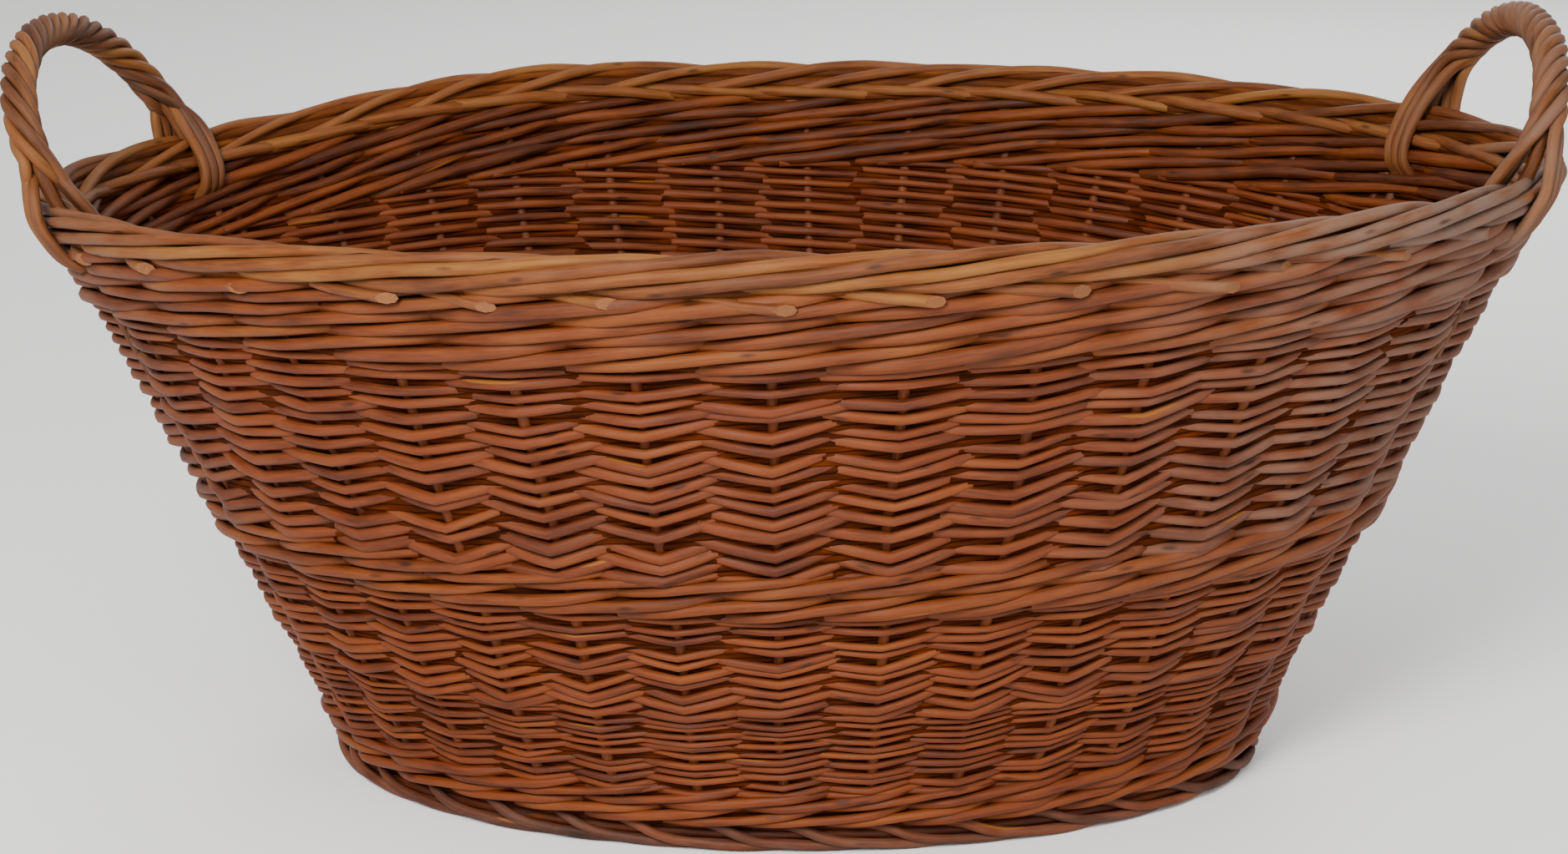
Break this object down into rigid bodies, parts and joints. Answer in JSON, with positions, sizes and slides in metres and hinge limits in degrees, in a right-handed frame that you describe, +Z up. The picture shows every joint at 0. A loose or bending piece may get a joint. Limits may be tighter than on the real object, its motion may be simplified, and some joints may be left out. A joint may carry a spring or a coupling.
{
  "type": "wicker log basket",
  "caption": "Oval woven willow log basket with flared sides, waled bands, a plaited rim and a rope-twisted handle at each end.",
  "frame": {"origin": "on the floor, under the middle of the basket", "axes": "+X along the basket's length towards its right-hand handle, +Y towards its back, +Z up out of its mouth"},
  "size_m": [0.6984, 0.4994, 0.3449],
  "materials": {
    "stake_willow": "buff willow rods, satin bark, darker where they run inside the weave",
    "siding_willow": "reddish orange-brown willow rods with a low waxy sheen",
    "wale_willow": "thick reddish brown willow rods with a low waxy sheen",
    "border_willow": "worn tan willow rods, grey-purple where weathered, with pale cut ends",
    "handle_willow": "twisted brown willow rods polished by handling",
    "base_willow": "dull brown willow rods"
  },
  "bodies": {
    "root": {"stake_01": "stake_willow", "stake_02": "stake_willow", "stake_03": "stake_willow", "stake_04": "stake_willow", "stake_05": "stake_willow", "stake_06": "stake_willow", "stake_07": "stake_willow", "stake_08": "stake_willow", "stake_09": "stake_willow", "stake_10": "stake_willow", "stake_11": "stake_willow", "stake_12": "stake_willow", "stake_13": "stake_willow", "stake_14": "stake_willow", "stake_15": "stake_willow", "stake_16": "stake_willow", "stake_17": "stake_willow", "stake_18": "stake_willow", "stake_19": "stake_willow", "stake_20": "stake_willow", "stake_21": "stake_willow", "stake_22": "stake_willow", "stake_23": "stake_willow", "stake_24": "stake_willow", "stake_25": "stake_willow", "stake_26": "stake_willow", "stake_27": "stake_willow", "stake_28": "stake_willow", "stake_29": "stake_willow", "stake_30": "stake_willow", "stake_31": "stake_willow", "stake_32": "stake_willow", "cross_stick_1": "base_willow", "cross_stick_2": "base_willow", "cross_stick_3": "base_willow", "cross_stick_4": "base_willow", "cross_stick_5": "base_willow", "cross_stick_6": "base_willow", "cross_stick_7": "base_willow", "long_stick_1": "base_willow", "long_stick_2": "base_willow", "long_stick_3": "base_willow", "base_mat": "base_willow", "foot_border": "siding_willow", "upsett_wale": "siding_willow", "lower_siding_fine": "siding_willow", "lower_siding_coarse": "siding_willow", "middle_wale": "wale_willow", "upper_siding": "siding_willow", "top_wale": "wale_willow", "rim_border": "border_willow", "handle_bow_left": "handle_willow", "handle_rope_left": "handle_willow", "handle_bow_right": "handle_willow", "handle_rope_right": "handle_willow"}
  },
  "joints": []
}
